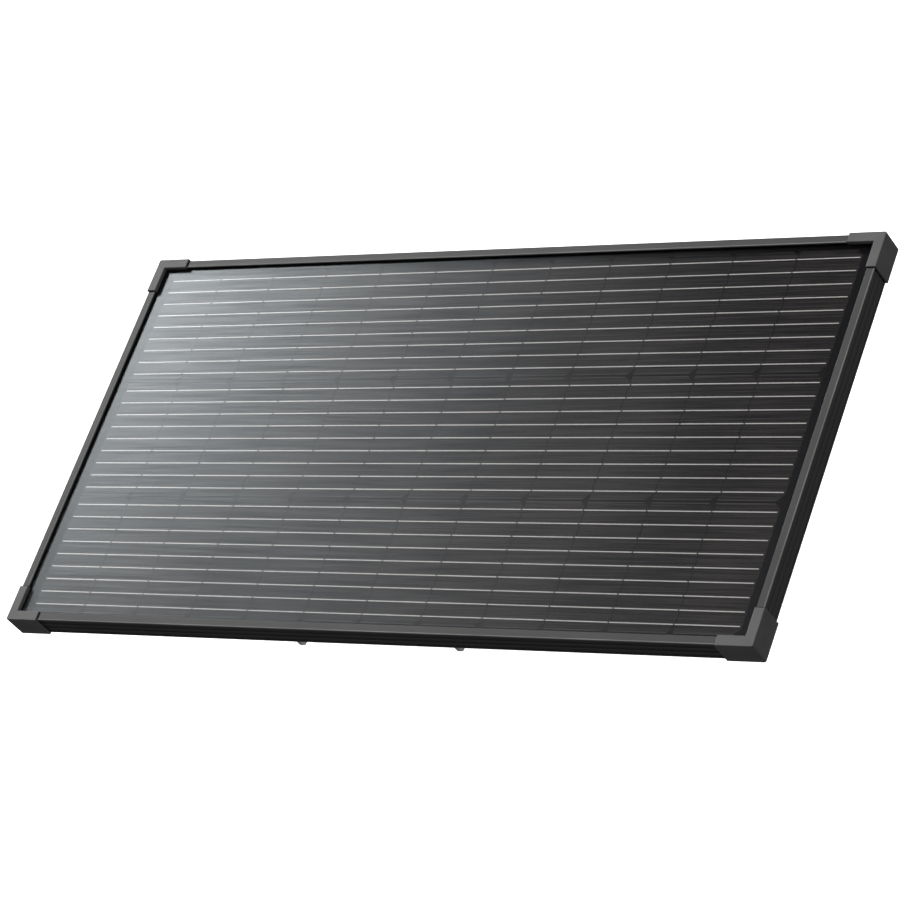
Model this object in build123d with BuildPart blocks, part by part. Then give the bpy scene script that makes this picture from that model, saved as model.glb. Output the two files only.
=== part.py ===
from build123d import *
import os

# Rigid framed solar panel with corner caps, junction box and a folding stand.
# Millimetres: +X along the long rails, +Y to the hinged edge of the stand, +Z out of the glass.

os.makedirs("parts", exist_ok=True)

# ---------------------------------------------------------------- driving dimensions

# cells: 166 mm wafers cut in half, three strings of twelve along X
CELL_LENGTH = 83.0
CELL_WIDTH = 166.0
CELL_THICKNESS = 0.2
CELL_CORNER = 8.5
COLUMNS = 12
STRINGS = 3
COLUMN_PITCH = 84.0
STRING_GAP = 2.3
WIRES_PER_STRING = 9
WIRE_PITCH = 17.87
WIRE_WIDTH = 1.1
WIRE_THICKNESS = 0.2
WIRE_BREAK = 2.0
WIRE_END_INSET = 3.2

# laminate stack, from the glass down
GLASS = 3.2
FRONT_ENCAPSULANT = 0.8
FRONT_POCKET = CELL_THICKNESS + WIRE_THICKNESS
REAR_ENCAPSULANT = 0.45
BACKSHEET = 0.3
SEALANT = 0.6
LAMINATE_CORNER = 2.0
GLASS_BEVEL = 0.4

# frame rails
RAIL_DEPTH = 30.0
RAIL_MARGIN_X = 24.0
RAIL_MARGIN_Y = 15.2
LIP_WIDTH = 10.0
LIP_THICKNESS = 2.8
WALL = 1.6
FLANGE_WIDTH = 22.0
FLANGE_THICKNESS = 1.8
GROOVES = 3
GROOVE_DEPTH = 0.8
GROOVE_WIDTH = 7.0
GROOVE_PITCH = 9.0
FIRST_GROOVE = 2.0
LAMINATE_INSET = 3.0
CHAMBER_FLOOR = 8.0
LIP_ROUND = 0.8

# corner caps
CAP_PROUD = 2.0
CAP_PLATE = 1.7
CAP_ARM = 46.0
CAP_LIP_EXTRA = 1.0
CAP_ROUND = 2.5
SEAM_WIDTH = 1.2
SEAM_DEPTH = 1.0

# holes in the back flanges
SLOT_LENGTH = 11.0
SLOT_WIDTH = 7.0
SLOT_X = 350.0
SLOT_INSET = 14.0
END_HOLE_R = 3.25
END_HOLE_Y = 150.0
GROUND_HOLE_R = 2.1

# folding stand
LEG_X = 113.0
LEG_THICKNESS = 6.0
LEG_DEPTH = 25.0
LEG_END_INSET = 9.5
PIVOT_INSET = 27.0
STAND_ANGLE = 60.0
PLATE_GAP = 0.5
BRACKET_PLATE = 3.0
BRACKET_WIDTH = 56.0
BRACKET_LENGTH = 37.0
BRACKET_INSET = 3.0
BRACKET_SCREW_X = 19.0
BRACKET_SCREW_INSET = 15.5
EAR = 2.5
PIN_R = 3.0
PIN_CLEARANCE = 0.05
BUSH_R = 4.5
BUSH_FLANGE_R = 7.5
BUSH_FLANGE = 1.0
SIDE_CLEARANCE = 0.3
CROSS_TUBE_R = 7.0
CROSS_TUBE_WALL = 1.5
CROSS_TUBE_Y = -120.0
M4 = 2.0
M5 = 2.5

# junction box
BOX_X = -400.0
BOX_LENGTH = 104.0
BOX_WIDTH = 92.0
BOX_DEPTH = 16.0
BOX_WALL = 2.5
BOX_LID = 3.0
BOX_PAD = 1.0
GLAND_SPACING = 56.0

# ---------------------------------------------------------------- levels and half sizes

BACK_Z = LEG_DEPTH + PLATE_GAP + BRACKET_PLATE
FRONT_Z = BACK_Z + RAIL_DEPTH
GLASS_TOP = FRONT_Z - LIP_THICKNESS - SEALANT
GLASS_BOTTOM = GLASS_TOP - GLASS
REAR_TOP = GLASS_BOTTOM - FRONT_ENCAPSULANT
CELL_TOP = REAR_TOP + CELL_THICKNESS
BACKSHEET_TOP = REAR_TOP - REAR_ENCAPSULANT
BACKSHEET_BOTTOM = BACKSHEET_TOP - BACKSHEET
SEAT_Z = BACKSHEET_BOTTOM - SEALANT
PIN_Z = LEG_DEPTH / 2

FIELD_X = COLUMNS * COLUMN_PITCH / 2
FIELD_Y = (STRINGS * CELL_WIDTH + (STRINGS - 1) * STRING_GAP) / 2
HALF_X = FIELD_X + RAIL_MARGIN_X
HALF_Y = FIELD_Y + RAIL_MARGIN_Y
LAMINATE_X = HALF_X - LAMINATE_INSET
LAMINATE_Y = HALF_Y - LAMINATE_INSET
PIN_Y = HALF_Y - PIVOT_INSET
LEG_END_Y = -HALF_Y + LEG_END_INSET

CORNERS = {"top_left": (-1, 1), "top_right": (1, 1), "bottom_left": (-1, -1), "bottom_right": (1, -1)}


def save(piece, name):
    """Label a finished piece and write its STEP file."""
    piece.part.label = name
    export_step(piece.part, f"parts/{name}.step")


# ---------------------------------------------------------------- frame rails

RAIL_WALL = GROOVE_DEPTH + WALL
SEAT_V = SEAT_Z - BACK_Z
LIP_V = RAIL_DEPTH - LIP_THICKNESS
CAP_SCREW_R = 1.5
CAP_SCREW_RUN = 36.0
CAP_SCREW_INSET = 16.0
BRACKET_SCREW_Y = HALF_Y - BRACKET_SCREW_INSET
CLIP_SCREW_X = 14.0


def groove_outline():
    """Outer face of the rail, from the back edge to the front edge, with three shallow grooves."""
    points = [(0, 0)]
    for i in range(GROOVES):
        low = FIRST_GROOVE + i * GROOVE_PITCH
        high = low + GROOVE_WIDTH
        points += [(0, low), (GROOVE_DEPTH, low + GROOVE_DEPTH)]
        points += [(GROOVE_DEPTH, high - GROOVE_DEPTH), (0, high)]
    return points


def make_rail(name, plane, length, slots, holes):
    """One mitred rail; the plane's X axis points into the panel, Y up, and its normal runs along the rail."""
    along, inward = plane.z_dir, plane.x_dir
    with BuildPart() as rail:
        with BuildSketch(plane) as section:
            with BuildLine():
                Polyline(
                    *groove_outline(),
                    (0, RAIL_DEPTH),
                    (LIP_WIDTH, RAIL_DEPTH),
                    (LIP_WIDTH, LIP_V),
                    (RAIL_WALL, LIP_V),
                    (RAIL_WALL, SEAT_V),
                    (LIP_WIDTH, SEAT_V),
                    (LIP_WIDTH, CHAMBER_FLOOR),
                    (RAIL_WALL, CHAMBER_FLOOR),
                    (RAIL_WALL, FLANGE_THICKNESS),
                    (FLANGE_WIDTH, FLANGE_THICKNESS),
                    (FLANGE_WIDTH, 0),
                    close=True,
                )
            make_face()
            fillet(section.vertices().group_by(Axis.Y)[-1], radius=LIP_ROUND)
            chamber_low = CHAMBER_FLOOR + WALL
            chamber_high = SEAT_V - WALL
            with Locations(((RAIL_WALL + LIP_WIDTH - WALL) / 2, (chamber_low + chamber_high) / 2)):
                Rectangle(LIP_WIDTH - WALL - RAIL_WALL, chamber_high - chamber_low, mode=Mode.SUBTRACT)
        extrude(amount=length / 2, both=True)
        for side in (-1, 1):
            end = plane.origin + along * (side * length / 2)
            split(bisect_by=Plane(origin=end, z_dir=along * side + inward), keep=Keep.BOTTOM)
        # open seam across the outer and front faces, just beyond the end of each corner cap
        for side in (-1, 1):
            with BuildSketch(plane.offset(side * (length / 2 - CAP_ARM))):
                with Locations((SEAM_DEPTH / 2, RAIL_DEPTH / 2)):
                    Rectangle(SEAM_DEPTH, RAIL_DEPTH)
                with Locations((LIP_WIDTH / 2, RAIL_DEPTH - SEAM_DEPTH / 2)):
                    Rectangle(LIP_WIDTH, SEAM_DEPTH)
            extrude(amount=-side * SEAM_WIDTH, mode=Mode.SUBTRACT)
        with BuildSketch(Plane.XY.offset(BACK_Z)):
            if slots:
                with Locations(*slots):
                    SlotOverall(SLOT_LENGTH, SLOT_WIDTH)
            for radius, spots in holes:
                with Locations(*spots):
                    Circle(radius)
        extrude(amount=FLANGE_THICKNESS, mode=Mode.SUBTRACT)
    save(rail, name)


def long_rail_cap_holes(side):
    """Cap screw holes near both ends of a long rail."""
    return [(end * (HALF_X - CAP_SCREW_RUN), side * (HALF_Y - CAP_SCREW_INSET)) for end in (-1, 1)]


def short_rail_cap_holes(side):
    """Cap screw holes near both ends of a short rail."""
    return [(side * (HALF_X - CAP_SCREW_INSET), end * (HALF_Y - CAP_SCREW_RUN)) for end in (-1, 1)]


BRACKET_HOLES = [
    (leg * LEG_X + side * BRACKET_SCREW_X, BRACKET_SCREW_Y) for leg in (-1, 1) for side in (-1, 1)
]
CLIP_HOLES = [
    (leg * LEG_X + side * CLIP_SCREW_X, -BRACKET_SCREW_Y) for leg in (-1, 1) for side in (-1, 1)
]

for name, side, fixings in (("top", 1, (M5, BRACKET_HOLES)), ("bottom", -1, (M4, CLIP_HOLES))):
    make_rail(
        f"frame_rail_{name}",
        Plane(origin=(0, side * HALF_Y, BACK_Z), x_dir=(0, -side, 0), z_dir=(-side, 0, 0)),
        2 * HALF_X,
        [(x, side * (HALF_Y - SLOT_INSET)) for x in (-SLOT_X, SLOT_X)],
        [(CAP_SCREW_R, long_rail_cap_holes(side)), fixings],
    )

for name, side in (("left", -1), ("right", 1)):
    end_x = side * (HALF_X - SLOT_INSET)
    make_rail(
        f"frame_rail_{name}",
        Plane(origin=(side * HALF_X, 0, BACK_Z), x_dir=(-side, 0, 0), z_dir=(0, side, 0)),
        2 * HALF_Y,
        [],
        [
            (CAP_SCREW_R, short_rail_cap_holes(side)),
            (END_HOLE_R, [(end_x, -END_HOLE_Y), (end_x, END_HOLE_Y)]),
            (GROUND_HOLE_R, [(end_x, 0)]),
        ],
    )

# ---------------------------------------------------------------- corner keys and corner caps


def corner_arms(sx, sy, near, far, reach):
    """Two rectangles that make an L at one corner, from inset near to inset far, with arms of that reach."""
    width = far - near
    run = reach - near
    with Locations((sx * (HALF_X - near - run / 2), sy * (HALF_Y - near - width / 2))):
        Rectangle(run, width)
    with Locations((sx * (HALF_X - near - width / 2), sy * (HALF_Y - near - run / 2))):
        Rectangle(width, run)


KEY_GAP = 0.1
KEY_REACH = 44.0

for corner, (sx, sy) in CORNERS.items():
    with BuildPart() as corner_key:
        with BuildSketch(Plane.XY.offset(BACK_Z + CHAMBER_FLOOR + WALL + KEY_GAP)):
            corner_arms(sx, sy, RAIL_WALL + KEY_GAP, LIP_WIDTH - WALL - KEY_GAP, KEY_REACH)
        extrude(amount=SEAT_V - CHAMBER_FLOOR - 2 * (WALL + KEY_GAP))
    save(corner_key, f"corner_key_{corner}")

    with BuildPart() as corner_cap:
        with BuildSketch(Plane.XY.offset(BACK_Z - CAP_PLATE)):
            corner_arms(sx, sy, -CAP_PROUD, FLANGE_WIDTH, CAP_ARM)
        extrude(amount=CAP_PLATE)
        with BuildSketch(Plane.XY.offset(BACK_Z)):
            corner_arms(sx, sy, -CAP_PROUD, 0, CAP_ARM)
        extrude(amount=RAIL_DEPTH)
        with BuildSketch(Plane.XY.offset(FRONT_Z)):
            corner_arms(sx, sy, -CAP_PROUD, LIP_WIDTH + CAP_LIP_EXTRA, CAP_ARM)
        extrude(amount=CAP_PLATE)
        with BuildSketch(Plane.XY.offset(GLASS_TOP)):
            corner_arms(sx, sy, LIP_WIDTH, LIP_WIDTH + CAP_LIP_EXTRA, CAP_ARM)
        extrude(amount=LIP_THICKNESS + SEALANT)
        tip = Vector(sx * (HALF_X + CAP_PROUD), sy * (HALF_Y + CAP_PROUD), BACK_Z + RAIL_DEPTH / 2)
        fillet(corner_cap.edges().filter_by(Axis.Z).sort_by_distance(tip)[0], radius=CAP_ROUND)
        front = corner_cap.faces().sort_by(Axis.Z)[-1]
        fillet(front.edges(), radius=LIP_ROUND)
        with Locations(
            (sx * (HALF_X - CAP_SCREW_RUN), sy * (HALF_Y - CAP_SCREW_INSET), BACK_Z - CAP_PLATE / 2),
            (sx * (HALF_X - CAP_SCREW_INSET), sy * (HALF_Y - CAP_SCREW_RUN), BACK_Z - CAP_PLATE / 2),
        ):
            Cylinder(CAP_SCREW_R, CAP_PLATE, mode=Mode.SUBTRACT)
    save(corner_cap, f"corner_cap_{corner}")


HEAD_ROUND = 0.4
RECESS_LENGTH = 1.2
RECESS_WIDTH = 0.3


def make_screws(name, spots, head_z, head_r, head_height, shank_r, shank_length):
    """Pan head screws driven upwards along Z, heads hanging below head_z, with a cross recess."""
    with BuildPart() as screws:
        with Locations(*[(x, y, head_z) for x, y in spots]):
            Cylinder(head_r, head_height, align=(Align.CENTER, Align.CENTER, Align.MAX))
            Cylinder(shank_r, shank_length, align=(Align.CENTER, Align.CENTER, Align.MIN))
        fillet(screws.faces().sort_by(Axis.Z)[: len(spots)].edges(), radius=head_height * HEAD_ROUND)
        with Locations(*[(x, y, head_z - head_height) for x, y in spots]):
            Box(head_r * RECESS_LENGTH, head_r * RECESS_WIDTH, head_height, mode=Mode.SUBTRACT)
            Box(head_r * RECESS_WIDTH, head_r * RECESS_LENGTH, head_height, mode=Mode.SUBTRACT)
    save(screws, name)


def make_nuts(name, spots, z, across, height, bore):
    """Hexagon nuts standing on the level z, with the screw's bore through them."""
    with BuildPart() as nuts:
        with BuildSketch(Plane.XY.offset(z)):
            with Locations(*spots):
                RegularPolygon(across / 2, 6, major_radius=False)
                Circle(bore, mode=Mode.SUBTRACT)
        extrude(amount=height)
    save(nuts, name)


CAP_SCREW_SPOTS = []
for side in (-1, 1):
    CAP_SCREW_SPOTS += long_rail_cap_holes(side) + short_rail_cap_holes(side)
make_screws(
    "corner_cap_screws",
    CAP_SCREW_SPOTS,
    head_z=BACK_Z - CAP_PLATE,
    head_r=3.0,
    head_height=2.0,
    shank_r=CAP_SCREW_R,
    shank_length=6.0,
)

# ---------------------------------------------------------------- laminate

with BuildPart() as glass_cover:
    with BuildSketch(Plane.XY.offset(GLASS_BOTTOM)):
        RectangleRounded(2 * LAMINATE_X, 2 * LAMINATE_Y, LAMINATE_CORNER)
    extrude(amount=GLASS)
    fillet(glass_cover.faces().sort_by(Axis.Z)[-1].edges(), radius=GLASS_BEVEL)
save(glass_cover, "glass_cover")

BUS_WIDTH = 5.0
BUS_GAP = 1.5
BUS_SETBACK = 20.0
MASK_WIDTH = 8.5
POCKET_X = FIELD_X + MASK_WIDTH
POCKET_SPARE = 0.5
POCKET_Y = FIELD_Y + POCKET_SPARE

with BuildPart() as front_encapsulant:
    with BuildSketch(Plane.XY.offset(REAR_TOP)):
        Rectangle(2 * LAMINATE_X, 2 * LAMINATE_Y)
    extrude(amount=FRONT_ENCAPSULANT)
    with BuildSketch(Plane.XY.offset(REAR_TOP)):
        Rectangle(2 * POCKET_X, 2 * POCKET_Y)
    extrude(amount=FRONT_POCKET, mode=Mode.SUBTRACT)
save(front_encapsulant, "front_encapsulant")


def string_y(index):
    """Centre line of a string, counted from the top rail."""
    return FIELD_Y - CELL_WIDTH / 2 - index * (CELL_WIDTH + STRING_GAP)


def column_x(index):
    """Centre of a column, counted from the left rail."""
    return -FIELD_X + (index + 0.5) * COLUMN_PITCH


for string in range(STRINGS):
    with BuildPart() as cells:
        with BuildSketch(Plane.XY.offset(REAR_TOP)) as outlines:
            with Locations(*[(column_x(column), string_y(string)) for column in range(COLUMNS)]):
                Rectangle(CELL_LENGTH, CELL_WIDTH)
            right_edges = outlines.edges().filter_by(Axis.Y).sort_by(Axis.X)[1::2]
            chamfer(right_edges.vertices(), length=CELL_CORNER)
        extrude(amount=CELL_THICKNESS)
    save(cells, f"cells_string_{string + 1}")

    # the wires reach onto each cell from one end and stop short of its other end, turned round in each string
    lean = 1 if string % 2 else -1
    with BuildPart() as wires:
        with BuildSketch(Plane.XY.offset(CELL_TOP)):
            for column in range(COLUMNS):
                left = -FIELD_X + column * COLUMN_PITCH + lean * WIRE_BREAK + WIRE_BREAK / 2
                right = left + COLUMN_PITCH - WIRE_BREAK
                if column == 0:
                    left = -FIELD_X + WIRE_END_INSET
                if column == COLUMNS - 1:
                    right = FIELD_X - WIRE_END_INSET
                with Locations(((left + right) / 2, string_y(string))):
                    with GridLocations(0, WIRE_PITCH, 1, WIRES_PER_STRING):
                        Rectangle(right - left, WIRE_WIDTH)
        extrude(amount=WIRE_THICKNESS)
    save(wires, f"wires_string_{string + 1}")

# bus ribbons join the strings at the ends: first and second at the right, second and third at the left
BUS_X = FIELD_X + BUS_GAP + BUS_WIDTH / 2
PAIR_SPAN = 2 * (CELL_WIDTH - BUS_SETBACK)
with BuildPart() as bus_ribbons:
    with BuildSketch(Plane.XY.offset(REAR_TOP)):
        with Locations((BUS_X, (string_y(0) + string_y(1)) / 2), (-BUS_X, (string_y(1) + string_y(2)) / 2)):
            Rectangle(BUS_WIDTH, PAIR_SPAN)
        with Locations((BUS_X, string_y(2)), (-BUS_X, string_y(0))):
            Rectangle(BUS_WIDTH, CELL_WIDTH - BUS_SETBACK)
    extrude(amount=CELL_THICKNESS)
save(bus_ribbons, "bus_ribbons")

with BuildPart() as bus_mask_strips:
    with BuildSketch(Plane.XY.offset(REAR_TOP + CELL_THICKNESS)):
        for side in (-1, 1):
            with Locations((side * (FIELD_X + MASK_WIDTH / 2), 0)):
                Rectangle(MASK_WIDTH, 2 * FIELD_Y)
    extrude(amount=WIRE_THICKNESS)
save(bus_mask_strips, "bus_mask_strips")

LEADS = 4
LEAD_WIDTH = 6.0
LEAD_PITCH = 18.0
LEAD_SPOTS = [(BOX_X, (i - (LEADS - 1) / 2) * LEAD_PITCH) for i in range(LEADS)]
LEAD_SLOT = 1.0

with BuildPart() as rear_encapsulant:
    with BuildSketch(Plane.XY.offset(BACKSHEET_TOP)):
        Rectangle(2 * LAMINATE_X, 2 * LAMINATE_Y)
        with Locations(*LEAD_SPOTS):
            Rectangle(LEAD_SLOT, LEAD_WIDTH, mode=Mode.SUBTRACT)
    extrude(amount=REAR_ENCAPSULANT)
save(rear_encapsulant, "rear_encapsulant")

with BuildPart() as backsheet:
    with BuildSketch(Plane.XY.offset(BACKSHEET_BOTTOM)):
        Rectangle(2 * LAMINATE_X, 2 * LAMINATE_Y)
        with Locations(*LEAD_SPOTS):
            Rectangle(LEAD_SLOT, LEAD_WIDTH, mode=Mode.SUBTRACT)
    extrude(amount=BACKSHEET)
save(backsheet, "backsheet")

# sealant fills the rail groove around the laminate's edge
SEALANT_SETBACK = 1.0
SEALANT_INSIDE = LIP_WIDTH - SEALANT_SETBACK
with BuildPart() as edge_sealant:
    with BuildSketch(Plane.XY.offset(SEAT_Z)):
        Rectangle(2 * (HALF_X - RAIL_WALL), 2 * (HALF_Y - RAIL_WALL))
        Rectangle(2 * (HALF_X - SEALANT_INSIDE), 2 * (HALF_Y - SEALANT_INSIDE), mode=Mode.SUBTRACT)
    extrude(amount=LIP_V - SEAT_V)
    with BuildSketch(Plane.XY.offset(BACKSHEET_BOTTOM)):
        Rectangle(2 * LAMINATE_X, 2 * LAMINATE_Y)
    extrude(amount=GLASS_TOP - BACKSHEET_BOTTOM, mode=Mode.SUBTRACT)
save(edge_sealant, "edge_sealant")

LABEL_X = 300.0
LABEL_LENGTH = 110.0
LABEL_WIDTH = 70.0
LABEL_CORNER = 3.0
LABEL_THICKNESS = 0.15

with BuildPart() as rating_label:
    with BuildSketch(Plane.XY.offset(BACKSHEET_BOTTOM - LABEL_THICKNESS)):
        with Locations((LABEL_X, 0)):
            RectangleRounded(LABEL_LENGTH, LABEL_WIDTH, LABEL_CORNER)
    extrude(amount=LABEL_THICKNESS)
save(rating_label, "rating_label")

# ---------------------------------------------------------------- junction box

BOX_TOP = BACKSHEET_BOTTOM - BOX_PAD
BOX_BOTTOM = BOX_TOP - BOX_DEPTH
LID_BOTTOM = BOX_BOTTOM - BOX_LID
LID_BEVEL = 1.0
BOX_CORNER = 7.0
PAD_INSET = 2.0
PAD_OPENING = (64.0, 80.0)
LEAD_OPENING = 8.0
BOSS_R = 4.5
BOSS_INSET = 7.0
BOSS_X = BOX_LENGTH / 2 - BOSS_INSET
BOSS_Y = BOX_WIDTH / 2 - BOSS_INSET
BOSS_SPOTS = [(BOX_X + sx * BOSS_X, sy * BOSS_Y) for sx, sy in CORNERS.values()]
LID_SCREW_R = 1.5
GASKET_WIDTH = 1.2
GASKET_DEPTH = 1.0
GASKET_INSET = 1.0
GASKET_INNER = GASKET_INSET + GASKET_WIDTH
GLAND_R = 6.0
GLAND_Z = (BOX_TOP - BOX_WALL + BOX_BOTTOM) / 2
GLAND_SPOTS = [(BOX_X + side * GLAND_SPACING / 2, -BOX_WIDTH / 2) for side in (-1, 1)]



def box_outline(inset, mode=Mode.ADD):
    """The box's rounded outline, moved in by the inset."""
    RectangleRounded(BOX_LENGTH - 2 * inset, BOX_WIDTH - 2 * inset, BOX_CORNER - inset, mode=mode)


with BuildPart() as junction_box_pad:
    with BuildSketch(Plane.XY.offset(BOX_TOP)):
        with Locations((BOX_X, 0)):
            box_outline(PAD_INSET)
            Rectangle(*PAD_OPENING, mode=Mode.SUBTRACT)
    extrude(amount=BOX_PAD)
save(junction_box_pad, "junction_box_pad")

with BuildPart() as junction_box_base:
    with BuildSketch(Plane.XY.offset(BOX_BOTTOM)):
        with Locations((BOX_X, 0)):
            box_outline(0)
    extrude(amount=BOX_DEPTH)
    with BuildSketch(Plane.XY.offset(BOX_BOTTOM)):
        with Locations((BOX_X, 0)):
            box_outline(BOX_WALL)
    extrude(amount=BOX_DEPTH - BOX_WALL, mode=Mode.SUBTRACT)
    with BuildSketch(Plane.XY.offset(BOX_BOTTOM)):
        with Locations(*BOSS_SPOTS):
            Circle(BOSS_R)
    extrude(amount=BOX_DEPTH - BOX_WALL)
    with BuildSketch(Plane.XY.offset(BOX_BOTTOM)):
        with Locations(*BOSS_SPOTS):
            Circle(LID_SCREW_R)
    extrude(amount=BOX_DEPTH - 2 * BOX_WALL, mode=Mode.SUBTRACT)
    with BuildSketch(Plane.XY.offset(BOX_TOP - BOX_WALL)):
        with Locations((BOX_X, 0)):
            Rectangle(LEAD_OPENING, LEADS * LEAD_PITCH)
    extrude(amount=BOX_WALL, mode=Mode.SUBTRACT)
    with BuildSketch(Plane.XZ.offset(BOX_WIDTH / 2)):
        with Locations(*[(x, GLAND_Z) for x, y in GLAND_SPOTS]):
            Circle(GLAND_R)
    extrude(amount=-BOX_WALL, mode=Mode.SUBTRACT)
save(junction_box_base, "junction_box_base")

with BuildPart() as junction_box_lid:
    with BuildSketch(Plane.XY.offset(LID_BOTTOM)):
        with Locations((BOX_X, 0)):
            box_outline(0)
    extrude(amount=BOX_LID)
    chamfer(junction_box_lid.faces().sort_by(Axis.Z)[0].edges(), length=LID_BEVEL)
    with BuildSketch(Plane.XY.offset(BOX_BOTTOM - GASKET_DEPTH)):
        with Locations((BOX_X, 0)):
            box_outline(GASKET_INSET)
            box_outline(GASKET_INNER, mode=Mode.SUBTRACT)
    extrude(amount=GASKET_DEPTH, mode=Mode.SUBTRACT)
    with BuildSketch(Plane.XY.offset(LID_BOTTOM)):
        with Locations(*BOSS_SPOTS):
            Circle(LID_SCREW_R)
    extrude(amount=BOX_LID, mode=Mode.SUBTRACT)
save(junction_box_lid, "junction_box_lid")

with BuildPart() as junction_box_gasket:
    with BuildSketch(Plane.XY.offset(BOX_BOTTOM - GASKET_DEPTH)):
        with Locations((BOX_X, 0)):
            box_outline(GASKET_INSET)
            box_outline(GASKET_INNER, mode=Mode.SUBTRACT)
    extrude(amount=GASKET_DEPTH)
save(junction_box_gasket, "junction_box_gasket")

make_screws(
    "junction_box_lid_screws",
    BOSS_SPOTS,
    head_z=LID_BOTTOM,
    head_r=2.8,
    head_height=1.6,
    shank_r=LID_SCREW_R,
    shank_length=10.0,
)

# four terminals under the lead slot, with a bypass diode between each outer pair
TERMINAL_LENGTH = 18.0
TERMINAL_WIDTH = 9.0
TERMINAL_HEIGHT = 5.0
TERMINAL_X = BOX_X + 16.0
TERMINAL_Z = BOX_TOP - BOX_WALL - TERMINAL_HEIGHT
with BuildPart() as terminals:
    with BuildSketch(Plane.XY.offset(TERMINAL_Z)):
        with Locations(*[(TERMINAL_X, y) for x, y in LEAD_SPOTS]):
            Rectangle(TERMINAL_LENGTH, TERMINAL_WIDTH)
    extrude(amount=TERMINAL_HEIGHT)
save(terminals, "terminals")

DIODE_R = 2.7
DIODE_LENGTH = 9.5
DIODE_X = BOX_X + 19.0
DIODE_WIRE_R = 0.6
DIODE_WIRE_LENGTH = LEAD_PITCH + 4.0
DIODE_POST = 1.2
DIODE_POST_Y = LEAD_PITCH / 2 + 1.4
with BuildPart() as bypass_diodes:
    for side in (-1, 1):
        diode_y = side * LEAD_PITCH
        with Locations(Location((DIODE_X, diode_y, TERMINAL_Z - DIODE_R), (90, 0, 0))):
            Cylinder(DIODE_R, DIODE_LENGTH)
            Cylinder(DIODE_WIRE_R, DIODE_WIRE_LENGTH)
        for reach in (-1, 1):
            with Locations((DIODE_X, diode_y + reach * DIODE_POST_Y, TERMINAL_Z)):
                Box(DIODE_POST, DIODE_POST, DIODE_R, align=(Align.CENTER, Align.CENTER, Align.MAX))
save(bypass_diodes, "bypass_diodes")

LEAD = 0.2
LEAD_FOOT = 16.0
with BuildPart() as lead_ribbons:
    for x, y in LEAD_SPOTS:
        with Locations((x, y, TERMINAL_Z)):
            Box(LEAD, LEAD_WIDTH, REAR_TOP - TERMINAL_Z, align=(Align.CENTER, Align.CENTER, Align.MIN))
            Box(LEAD_FOOT, LEAD_WIDTH, LEAD, align=(Align.MIN, Align.CENTER, Align.MAX))
save(lead_ribbons, "lead_ribbons")

# cable glands: threaded body with a hexagon flange, a domed nut and a soft seal
GLAND_BORE = 3.2
GLAND_SEAL_WALL = 1.0
GLAND_TAIL = BOX_WALL + 4.0
GLAND_HEX_R = 7.2
GLAND_HEX_HEIGHT = 4.0
GLAND_THREAD_R = 5.6
GLAND_THREAD_LENGTH = 6.0
GLAND_END = GLAND_HEX_HEIGHT + GLAND_THREAD_LENGTH
NUT_HEX_R = 7.0
NUT_HEX_HEIGHT = 7.0
NUT_DOME_R = 6.6
NUT_DOME_HEIGHT = 5.0
NUT_DOME_TAPER = 20.0
NUT_BORE = GLAND_BORE + 0.3
NUT_END = GLAND_HEX_HEIGHT + NUT_HEX_HEIGHT + NUT_DOME_HEIGHT
SEAL_START = 1.0

for name, (gland_x, gland_y) in zip(("positive", "negative"), GLAND_SPOTS):
    face = Plane(origin=(gland_x, gland_y, GLAND_Z), x_dir=(1, 0, 0), z_dir=(0, -1, 0))
    with BuildPart() as cable_gland:
        with BuildSketch(face.offset(-GLAND_TAIL)):
            Circle(GLAND_R)
        extrude(amount=GLAND_TAIL)
        with BuildSketch(face):
            RegularPolygon(GLAND_HEX_R, 6, major_radius=False)
        extrude(amount=GLAND_HEX_HEIGHT)
        with BuildSketch(face.offset(GLAND_HEX_HEIGHT)):
            Circle(GLAND_THREAD_R)
        extrude(amount=GLAND_THREAD_LENGTH)
        with BuildSketch(face.offset(-GLAND_TAIL)):
            Circle(GLAND_BORE + GLAND_SEAL_WALL)
        extrude(amount=GLAND_TAIL + GLAND_END, mode=Mode.SUBTRACT)
    save(cable_gland, f"cable_gland_{name}")

    with BuildPart() as gland_nut:
        with BuildSketch(face.offset(GLAND_HEX_HEIGHT)):
            RegularPolygon(NUT_HEX_R, 6, major_radius=False)
        extrude(amount=NUT_HEX_HEIGHT)
        with BuildSketch(face.offset(GLAND_HEX_HEIGHT + NUT_HEX_HEIGHT)):
            Circle(NUT_DOME_R)
        extrude(amount=NUT_DOME_HEIGHT, taper=NUT_DOME_TAPER)
        with BuildSketch(face.offset(GLAND_HEX_HEIGHT)):
            Circle(GLAND_THREAD_R)
        extrude(amount=GLAND_THREAD_LENGTH, mode=Mode.SUBTRACT)
        with BuildSketch(face.offset(GLAND_END)):
            Circle(NUT_BORE)
        extrude(amount=NUT_END - GLAND_END, mode=Mode.SUBTRACT)
    save(gland_nut, f"gland_nut_{name}")

    with BuildPart() as gland_seal:
        with BuildSketch(face.offset(SEAL_START)):
            Circle(GLAND_BORE + GLAND_SEAL_WALL)
            Circle(GLAND_BORE, mode=Mode.SUBTRACT)
        extrude(amount=GLAND_END - SEAL_START)
    save(gland_seal, f"gland_seal_{name}")

# ---------------------------------------------------------------- folding stand

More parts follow.
